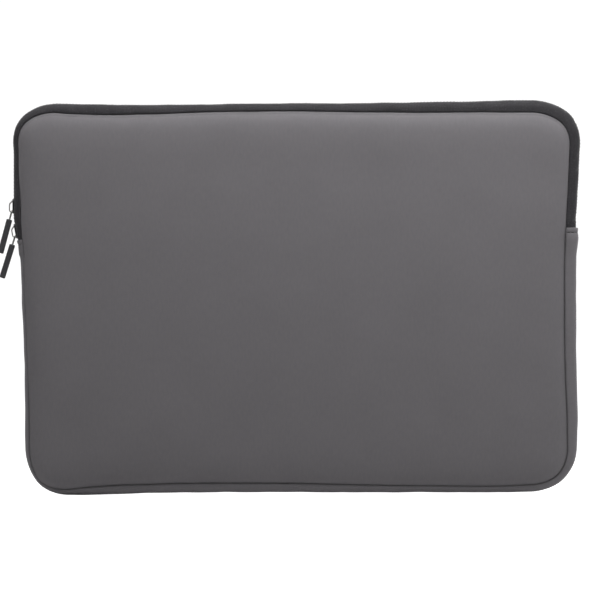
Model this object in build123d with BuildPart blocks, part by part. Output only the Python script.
from build123d import *

import os
from math import cos, hypot, radians, sin, sqrt, tan

# Laptop sleeve, upright, zipper at the top. Millimetres.
# +X runs along the sleeve's width, -Y is its front, +Z runs from its base to its mouth.
# The origin is on the underside of the base, midway between the two panels.

os.makedirs("parts", exist_ok=True)

# ---------------------------------------------------------------- overall size
TOP_Z = 274.0            # top of the zipper band
RIGHT_X = 196.5          # right edge
LEFT_TOP_X = -198.0      # left edge beside the zipper
LEFT_LOW_X = -190.5      # left edge beside the grey gusset, which draws in a little
CORNER_R = 32.0          # rounded corners of the outline
CREST = 11.0             # half thickness at the middle of a panel
SEAM_CREST = 8.5         # half thickness at a panel's sewn edge
CROWN = CREST - SEAM_CREST
ROLL = 22.0              # width of the margin over which a panel rolls down to its seam
FOLD_Z = 232.0           # where the open lips bend, above the upper slider's travel
FOLD_GAP = 0.05          # gap left on each side of the bend
LIP_Z = FOLD_Z + FOLD_GAP
LOWER_Z = FOLD_Z - FOLD_GAP

# ---------------------------------------------------------------- fabric layers
KNIT = 0.5               # knit face and knit lining
CAVITY = 7.0             # half depth of the empty pocket
GUSSET_FOAM = 1.6        # the gusset's foam is thinner than the panels'
BINDING_W = 5.0          # bound seam inside the pocket, one side's width
BINDING_T = 1.0
BINDING_CORNER_R = 0.3
BINDING_SEAM_GAP = 0.15
BINDING_LINING_GAP = 0.05

# ---------------------------------------------------------------- side band, in section
BAND_IN = 7.8            # how far the seam lies inside the outline
BAND_SEAM = 7.7          # half depth of the band at its seams
BAND_FLAT = 2.5          # half width of the flat strip in the middle of the band
BAND_R = BAND_SEAM - BAND_FLAT
SEAM_GAP = 0.05

# ---------------------------------------------------------------- zipper
TAPE_T = 0.7
SLOT = 0.65              # half of the gap between the tapes where the sliders run
CLOSED = 0.08            # and where the zipper is closed
COIL_W = 2.3
COIL_H = 2.1
COIL_CORNER_R = 0.6
COIL_GAP = 0.05          # between the coil and its tape
HEM_T = 1.2              # folded hem that covers the tape's end
HEM_PROUD = 0.05
HEM_TOP = HEM_PROUD + HEM_T
LEFT_KINK_DEG = 11.0     # the zipper's lower left end leans in by this much
LEFT_KINK_R = 25.0
LEFT_STRAIGHT_Z = 194.8  # the zipper is straight and upright above this
RIGHT_HEM_Z = 186.2      # folded edge of the right hem
LEFT_HEM_S = 15.4        # folded edge of the left hem, measured down the leaning run
TAPE_UNDER_HEM = 8.9
TAPE_END_GAP = 0.1       # between a tape's end and the gusset's
STEP_L = 2.4             # thick part of a hem, below the gusset's end
FLAP_LAP = 0.3           # how far a hem's flap runs down into its thick part

# ---------------------------------------------------------------- outline
# The left side has three kinks, rounded off, between the mouth and the base.
K_MID_S = 18.8           # middle kink, measured down the leaning run
K_MID_R = 40.0
K_LOW_R = 200.0

lean = radians(LEFT_KINK_DEG)
lean_x, lean_z = sin(lean), -cos(lean)
K_TOP = (LEFT_TOP_X, LEFT_STRAIGHT_Z - LEFT_KINK_R * tan(lean / 2))


def down_lean(s):
    """A point on the leaning run, s below the upper kink."""
    return (K_TOP[0] + lean_x * s, K_TOP[1] + lean_z * s)


K_MID = down_lean(K_MID_S)
K_LOW = (LEFT_LOW_X, 56.0)
low_len = hypot(K_MID[0] - K_LOW[0], K_MID[1] - K_LOW[1])


def below_mid(distance):
    """A point on the long lower left run, this far below the middle kink."""
    return (
        K_MID[0] + (K_LOW[0] - K_MID[0]) * distance / low_len,
        K_MID[1] + (K_LOW[1] - K_MID[1]) * distance / low_len,
    )


# ends on the left, measured below the middle kink
LEFT_TAPE_END = 6.0
LEFT_GUSSET_END = LEFT_TAPE_END + TAPE_END_GAP
LEFT_STEP_END = LEFT_GUSSET_END + STEP_L
# ends on the right, as heights
RIGHT_TAPE_END = RIGHT_HEM_Z - TAPE_UNDER_HEM
RIGHT_GUSSET_END = RIGHT_TAPE_END - TAPE_END_GAP
RIGHT_STEP_END = RIGHT_GUSSET_END - STEP_L


# ---------------------------------------------------------------- runs
def run_through(*points, radius=None):
    """A wire through (x, z) points midway between the panels, with rounded corners."""
    spots = [(x, 0, z) for x, z in points]
    with BuildLine() as run:
        if radius is None:
            Line(*spots)
        else:
            FilletPolyline(*spots, radius=radius)
    return run.wires()[0]


# every run goes clockwise as seen from the front, so that the outside is on its left
lip_run = run_through(
    (LEFT_TOP_X, LIP_Z),
    (LEFT_TOP_X, TOP_Z),
    (RIGHT_X, TOP_Z),
    (RIGHT_X, LIP_Z),
    radius=CORNER_R,
)
left_tape_run = run_through(
    below_mid(LEFT_TAPE_END),
    K_MID,
    K_TOP,
    (LEFT_TOP_X, LOWER_Z),
    radius=[K_MID_R, LEFT_KINK_R],
)
right_tape_run = run_through((RIGHT_X, LOWER_Z), (RIGHT_X, RIGHT_TAPE_END))
gusset_run = run_through(
    (RIGHT_X, RIGHT_GUSSET_END),
    (RIGHT_X, 0),
    (LEFT_LOW_X, 0),
    K_LOW,
    below_mid(LEFT_GUSSET_END),
    radius=[CORNER_R, CORNER_R, K_LOW_R],
)
pocket_run = run_through(
    (RIGHT_X, LOWER_Z),
    (RIGHT_X, 0),
    (LEFT_LOW_X, 0),
    K_LOW,
    K_MID,
    K_TOP,
    (LEFT_TOP_X, LOWER_Z),
    radius=[CORNER_R, CORNER_R, K_LOW_R, K_MID_R, LEFT_KINK_R],
)
left_flap_run = run_through(
    below_mid(LEFT_GUSSET_END + FLAP_LAP),
    K_MID,
    down_lean(LEFT_HEM_S),
    radius=[K_MID_R],
)
left_step_run = run_through(below_mid(LEFT_STEP_END), below_mid(LEFT_GUSSET_END))
right_flap_run = run_through(
    (RIGHT_X, RIGHT_HEM_Z), (RIGHT_X, RIGHT_GUSSET_END - FLAP_LAP)
)
right_step_run = run_through((RIGHT_X, RIGHT_GUSSET_END), (RIGHT_X, RIGHT_STEP_END))


def plane_across(point, along):
    """The plane across a direction: local x points outward, local y to the front."""
    return Plane(origin=point, x_dir=(-along.Z, 0, along.X), z_dir=along)


# ---------------------------------------------------------------- band sections
# Levels are measured outward from the band's outer surface.
def draw_bend(level, side):
    """A line from the seam and the quarter bend to the flat strip; side 1 is the front."""
    r = BAND_R + level
    c = cos(radians(45))
    Line((-BAND_IN, side * (BAND_FLAT + r)), (-BAND_R, side * (BAND_FLAT + r)))
    ThreePointArc(
        (-BAND_R, side * (BAND_FLAT + r)),
        (-BAND_R + c * r, side * (BAND_FLAT + c * r)),
        (level, side * BAND_FLAT),
    )


def band_section(plane, low, high):
    """The whole side band from the front seam to the back seam, between two levels."""
    with BuildSketch(plane) as section:
        with BuildLine():
            for level in (low, high):
                for side in (1, -1):
                    draw_bend(level, side)
                Line((level, BAND_FLAT), (level, -BAND_FLAT))
            for side in (1, -1):
                Line(
                    (-BAND_IN, side * (BAND_SEAM + low)),
                    (-BAND_IN, side * (BAND_SEAM + high)),
                )
        make_face()
    return section.sketch


def tape_section(plane, slot):
    """The front zipper tape, from its seam to the slot beside the other tape."""
    with BuildSketch(plane) as section:
        with BuildLine():
            for level in (-TAPE_T, 0.0):
                draw_bend(level, 1)
                Line((level, BAND_FLAT), (level, slot))
            Line((-BAND_IN, BAND_SEAM - TAPE_T), (-BAND_IN, BAND_SEAM))
            Line((-TAPE_T, slot), (0, slot))
        make_face()
    return section.sketch


def coil_section(plane, slot):
    """The front row of zipper coil, against the inner face of its tape."""
    with BuildSketch(plane) as section:
        with Locations((-TAPE_T - COIL_GAP - COIL_H / 2, slot + COIL_W / 2)):
            RectangleRounded(COIL_H, COIL_W, COIL_CORNER_R)
    return section.sketch


def binding_section(plane):
    """The folded tape over the front raw seam, flat against the panel's lining."""
    centre = (
        -BAND_IN - BINDING_SEAM_GAP - BINDING_W / 2,
        CAVITY - BINDING_LINING_GAP - BINDING_T / 2,
    )
    with BuildSketch(plane) as section:
        with Locations(centre):
            RectangleRounded(BINDING_W, BINDING_T, BINDING_CORNER_R)
    return section.sketch


def swept(section, *stretches):
    """A piece swept over stretches, each a run followed by its section's arguments."""
    with BuildPart() as piece:
        for run, *sizes in stretches:
            sweep(section(plane_across(run @ 0, run % 0), *sizes), path=run)
    return piece.part


# ---------------------------------------------------------------- panels
# The panel's outline follows the seam. Its outer face is flat in the middle and rolls
# down to the seam along all four sides; its inner face is flat.
ROLL_R = (ROLL**2 + CROWN**2) / (2 * CROWN)
ROLL_MID = -9            # a point on the roll's arc, measured outward from the seam
ROLL_END = 4             # where the arc ends, past the seam
ROLL_CUT_H = 1           # height of the cut above the crest
ROLL_CUT_L = 320         # length of the cut each way along a side

left_low = Vector(LEFT_LOW_X + BAND_IN, 0, 40.0)
left_high = Vector(LEFT_TOP_X + BAND_IN, 0, 240.0)
# one point and one direction for each side of the panel, clockwise
PANEL_SIDES = [
    (left_low, (left_high - left_low).normalized()),
    (Vector(0, 0, TOP_Z - BAND_IN), Vector(1, 0, 0)),
    (Vector(RIGHT_X - BAND_IN, 0, 137), Vector(0, 0, -1)),
    (Vector(0, 0, BAND_IN), Vector(-1, 0, 0)),
]

with BuildSketch(Plane.XZ) as panel_outline:
    with BuildLine():
        FilletPolyline(
            (LEFT_LOW_X, 0),
            K_LOW,
            K_MID,
            K_TOP,
            (LEFT_TOP_X, TOP_Z),
            (RIGHT_X, TOP_Z),
            (RIGHT_X, 0),
            radius=[CORNER_R, K_LOW_R, K_MID_R, LEFT_KINK_R, CORNER_R, CORNER_R, CORNER_R],
            close=True,
        )
    make_face()
    offset(amount=-(BAND_IN + SEAM_GAP), mode=Mode.REPLACE)


def roll_section(plane, level):
    """The space over a panel's rolled margin, to be cut away."""

    def rolled(n):
        return (n, level - ROLL_R + sqrt(ROLL_R**2 - (n + ROLL) ** 2))

    with BuildSketch(plane) as section:
        with BuildLine():
            ThreePointArc((-ROLL, level), rolled(ROLL_MID), rolled(ROLL_END))
            Polyline(
                rolled(ROLL_END),
                (ROLL_END, level + ROLL_CUT_H),
                (-ROLL, level + ROLL_CUT_H),
                (-ROLL, level),
            )
        make_face()
    return section.sketch


def crowned_plate(level):
    """The front panel's outline from the pocket's lining out to a crowned surface."""
    with BuildPart() as plate:
        with BuildSketch(Plane.XZ.offset(CAVITY + KNIT)):
            add(panel_outline.sketch_local)
        extrude(amount=level - CAVITY - KNIT)
        for point, along in PANEL_SIDES:
            extrude(
                roll_section(plane_across(point, along), level),
                amount=ROLL_CUT_L,
                both=True,
                mode=Mode.SUBTRACT,
            )
    return plate.part


pillow = crowned_plate(CREST)
core = crowned_plate(CREST - KNIT)


def panel_face(fold, keep):
    """The front panel's knit face on one side of the fold."""
    with BuildPart() as face:
        add(pillow)
        add(core, mode=Mode.SUBTRACT)
        split(bisect_by=fold, keep=keep)
    return face.part


def panel_foam(fold, keep):
    """The front panel's foam on one side of the fold."""
    with BuildPart() as foam:
        add(core)
        split(bisect_by=fold, keep=keep)
    return foam.part


def panel_lining(fold, keep):
    """The front panel's knit lining on one side of the fold."""
    with BuildPart() as lining:
        with BuildSketch(Plane.XZ.offset(CAVITY)):
            add(panel_outline.sketch_local)
        extrude(amount=KNIT)
        split(bisect_by=fold, keep=keep)
    return lining.part


pieces = {}
for half, fold, keep in (
    ("lower", Plane.XY.offset(LOWER_Z), Keep.BOTTOM),
    ("lip", Plane.XY.offset(LIP_Z), Keep.TOP),
):
    pieces[f"front_face_{half}"] = panel_face(fold, keep)
    pieces[f"front_foam_{half}"] = panel_foam(fold, keep)
    pieces[f"front_lining_{half}"] = panel_lining(fold, keep)

# ---------------------------------------------------------------- tapes, coils, bindings
for name, section in (("tape", tape_section), ("coil", coil_section)):
    pieces[f"front_{name}_lip"] = swept(section, (lip_run, CLOSED))
    pieces[f"front_{name}_ends"] = swept(
        section, (left_tape_run, SLOT), (right_tape_run, CLOSED)
    )

pieces["front_binding_lower"] = swept(binding_section, (pocket_run,))
pieces["front_binding_lip"] = swept(binding_section, (lip_run,))


# ---------------------------------------------------------------- back
def mirrored(front):
    """The back's copy of a front piece."""
    with BuildPart() as back:
        mirror(front, about=Plane.XZ)
    return back.part


# all the pieces made so far are front ones
for name, part in list(pieces.items()):
    pieces[name.replace("front", "back")] = mirrored(part)

# ---------------------------------------------------------------- gusset
# The grey band round the bottom and the lower sides. Its knit face folds over the
# zipper tape at each end as a hem.
FOAM_LEVEL = -KNIT - GUSSET_FOAM

pieces["gusset_face"] = swept(
    band_section,
    (gusset_run, -KNIT, 0),
    (left_step_run, -KNIT, HEM_TOP),
    (left_flap_run, HEM_PROUD, HEM_TOP),
    (right_step_run, -KNIT, HEM_TOP),
    (right_flap_run, HEM_PROUD, HEM_TOP),
)
pieces["gusset_foam"] = swept(band_section, (gusset_run, FOAM_LEVEL, -KNIT))
pieces["gusset_lining"] = swept(band_section, (gusset_run, FOAM_LEVEL - KNIT, FOAM_LEVEL))

# ---------------------------------------------------------------- hem stitches
STITCH_R = 0.3
STITCH_L = 1.9
STITCH_PITCH = 2.9
STITCH_DOWN = 3.4        # from the hem's folded edge to the row of stitches
STITCH_GAP = 0.02        # between a stitch and the hem
STITCHES_PER_SIDE = 4    # on each side of the middle stitch
SEAM_KEEP_OFF = 1        # the outermost stitches stop this far from the seam


def stitch_planes(centre, along):
    """Planes for a row of stitches across a hem, each plane's z along its stitch."""
    lift = HEM_TOP + STITCH_R + STITCH_GAP
    r = BAND_R + lift
    quarter = radians(90)
    arc = r * quarter
    outward, front = Vector(-along.Z, 0, along.X), Vector(0, -1, 0)
    planes = []
    for i in range(-STITCHES_PER_SIDE, STITCHES_PER_SIDE + 1):
        side = 1 if i >= 0 else -1
        reach = abs(i) * STITCH_PITCH
        if reach <= BAND_FLAT:  # on the flat strip
            out, across, turn = lift, reach, 0.0
        elif reach <= BAND_FLAT + arc:  # round the bend
            turn = (reach - BAND_FLAT) / r
            out, across = -BAND_R + r * cos(turn), BAND_FLAT + r * sin(turn)
        else:  # on the flat beside the seam
            turn = quarter
            past_bend = min(reach - BAND_FLAT - arc, BAND_IN - BAND_R - SEAM_KEEP_OFF)
            out, across = -BAND_R - past_bend, BAND_FLAT + r
        origin = centre + outward * out + front * (side * across)
        heading = outward * (-sin(turn)) + front * (side * cos(turn))
        planes.append(Plane(origin=origin, x_dir=along, z_dir=heading))
    return planes


def hem_stitches(run, at):
    """The row of stitches across a hem, at a fraction of its flap's run."""
    with BuildPart() as stitches:
        with Locations(*stitch_planes(run @ at, run % at)):
            Cylinder(radius=STITCH_R, height=STITCH_L)
    return stitches.part


# the left flap's run ends at the folded edge, and the right one's starts there
pieces["left_hem_stitches"] = hem_stitches(
    left_flap_run, 1 - STITCH_DOWN / left_flap_run.length
)
pieces["right_hem_stitches"] = hem_stitches(
    right_flap_run, STITCH_DOWN / right_flap_run.length
)

# ---------------------------------------------------------------- sliders
# Each slider is drawn in a frame on the tape: x outward from the tape, y to the front,
# z up along the zipper. A name ending in _N is a distance outward, _S one up the zipper.
UPPER_SLIDER_Z = 201.2
LOWER_SLIDER_DOWN = 8.81  # centre of the lower slider, measured down the leaning run
SLIDER_L = 10.4
SLIDER_W = 8.8
PLATE_T = 0.8
PLATE_CLEAR = 0.1
PLATE_CORNER_R = 2.2
PLATE_EDGE_R = 0.3
INNER_N = -3.05          # outer face of the slider's inner plate
INNER_T = 1.2
INNER_W = 8.2
INNER_CORNER_R = 1.8
POST_S = 1.6
POST_SUNK = 0.2          # into the outer plate
# the post's outline, as (to the front, up the zipper)
POST = [(0, 2.6), (0.5, 0.8), (0.5, -0.8), (0, -2.6), (-0.5, -0.8), (-0.5, 0.8)]
FLANGE_OUT = 3.6         # flange centre from the middle of the inner plate
FLANGE_W = 0.9
FLANGE_L = 7.6
FLANGE_H = 1.95
FLANGE_SUNK = 0.1        # into the inner plate
CROWN_W = 2.6
CROWN_T = 0.8
# the arch's centre line, as (up the zipper, outward), and its two bends
CROWN_LINE = [(-4.2, 0.2), (-4.2, 3.1), (1.6, 3.1), (4.5, 0.2)]
CROWN_BENDS = [1.7, 2.4]
CROWN_FOOT_N = 0.4       # where the arch's feet are cut off
CROWN_TRIM_L = 12        # size of the rectangle that trims the feet
CROWN_TRIM_H = 4.0

upper_frame = Plane(
    origin=(LEFT_TOP_X, 0, UPPER_SLIDER_Z), x_dir=(-1, 0, 0), z_dir=(0, 0, 1)
)
lower_x, lower_z = down_lean(LOWER_SLIDER_DOWN)
lower_frame = Plane(
    origin=(lower_x, 0, lower_z),
    x_dir=(lean_z, 0, -lean_x),
    z_dir=(-lean_x, 0, -lean_z),
)


def slider_crown(frame):
    """The thin arch on a slider that the pull's wire runs through."""
    side = Plane(origin=frame.origin, x_dir=frame.z_dir, z_dir=frame.y_dir)
    with BuildPart() as arch:
        with BuildSketch(side):
            with BuildLine():
                FilletPolyline(*CROWN_LINE, radius=CROWN_BENDS)
            trace(line_width=CROWN_T)
            with Locations((0, CROWN_FOOT_N + CROWN_TRIM_H / 2)):
                Rectangle(CROWN_TRIM_L, CROWN_TRIM_H, mode=Mode.INTERSECT)
        extrude(amount=CROWN_W / 2, both=True)
    return arch.part


def slider_body(frame, arch):
    """A slider's outer plate, post and channelled inner plate."""
    outer = Plane(origin=frame.origin, x_dir=frame.y_dir, z_dir=frame.x_dir)
    with BuildPart() as body:
        with BuildSketch(outer.offset(PLATE_CLEAR)):
            RectangleRounded(SLIDER_W, SLIDER_L, PLATE_CORNER_R)
        extrude(amount=PLATE_T)
        outer_face = body.faces().sort_by(Axis(frame.origin, frame.x_dir))[-1]
        fillet(outer_face.edges(), PLATE_EDGE_R)
        with BuildSketch(outer.offset(INNER_N)):
            with Locations((0, POST_S)):
                Polygon(*POST)
        extrude(amount=PLATE_CLEAR - INNER_N + POST_SUNK)
        with BuildSketch(outer.offset(INNER_N - INNER_T)):
            RectangleRounded(INNER_W, SLIDER_L, INNER_CORNER_R)
        extrude(amount=INNER_T)
        with BuildSketch(outer.offset(INNER_N - FLANGE_SUNK)):
            with Locations((FLANGE_OUT, 0), (-FLANGE_OUT, 0)):
                Rectangle(FLANGE_W, FLANGE_L)
        extrude(amount=FLANGE_H)
        add(arch, mode=Mode.SUBTRACT)
    return body.part


# ---------------------------------------------------------------- pulls
UPPER_PULL_DEG = 15.0    # how far each pull hangs out from straight down
LOWER_PULL_DEG = 17.3
PIVOT_S = -3.2           # where the wire crosses the crown, along the slider
PIVOT_N = 1.48           # and above the tape
WIRE_R = 0.5
WIRE_HALF = 2.05         # half the distance between the wire's legs
WIRE_BEND_R = 1.0
WIRE_FREE = 6.3          # from the pivot to the grip
WIRE_SUNK = 5.0
GRIP_L = 24.5
GRIP_W = 6.6
GRIP_T = 3.9
GRIP_CORNER_R = 1.1
GRIP_EDGE_R = 0.7


def pull_wire(pivot, down):
    """The steel loop: across the crown, then two legs into the grip."""
    legs = down * (WIRE_FREE + WIRE_SUNK)
    half = Vector(0, -1, 0) * WIRE_HALF
    with BuildPart() as loop:
        with BuildLine() as bend:
            FilletPolyline(
                pivot + legs + half,
                pivot + half,
                pivot - half,
                pivot + legs - half,
                radius=WIRE_BEND_R,
            )
        with BuildSketch(Plane(origin=bend.wires()[0] @ 0, z_dir=bend.wires()[0] % 0)):
            Circle(WIRE_R)
        sweep(path=bend.wires()[0])
    return loop.part


def pull_grip(pivot, down, loop):
    """The moulded grip, with the two holes that hold the wire's legs."""
    end = Plane(origin=pivot + down * WIRE_FREE, x_dir=(0, -1, 0), z_dir=down)
    with BuildPart() as grip:
        with BuildSketch(end):
            RectangleRounded(GRIP_W, GRIP_T, GRIP_CORNER_R)
        extrude(amount=GRIP_L)
        caps = grip.faces().sort_by(Axis(end.origin, end.z_dir))
        fillet(caps[0].edges() + caps[-1].edges(), GRIP_EDGE_R)
        add(loop, mode=Mode.SUBTRACT)
    return grip.part


for place, frame, pull_deg in (
    ("upper", upper_frame, UPPER_PULL_DEG),
    ("lower", lower_frame, LOWER_PULL_DEG),
):
    arch = slider_crown(frame)
    pieces[f"{place}_slider_crown"] = arch
    pieces[f"{place}_slider_body"] = slider_body(frame, arch)

    pivot = frame.origin + frame.z_dir * PIVOT_S + frame.x_dir * PIVOT_N
    down = Vector(-sin(radians(pull_deg)), 0, -cos(radians(pull_deg)))
    loop = pull_wire(pivot, down)
    pieces[f"{place}_pull_wire"] = loop
    pieces[f"{place}_pull_grip"] = pull_grip(pivot, down, loop)

# ---------------------------------------------------------------- labels and files
for name, part in pieces.items():
    part.label = name
    export_step(part, f"parts/{name}.step")
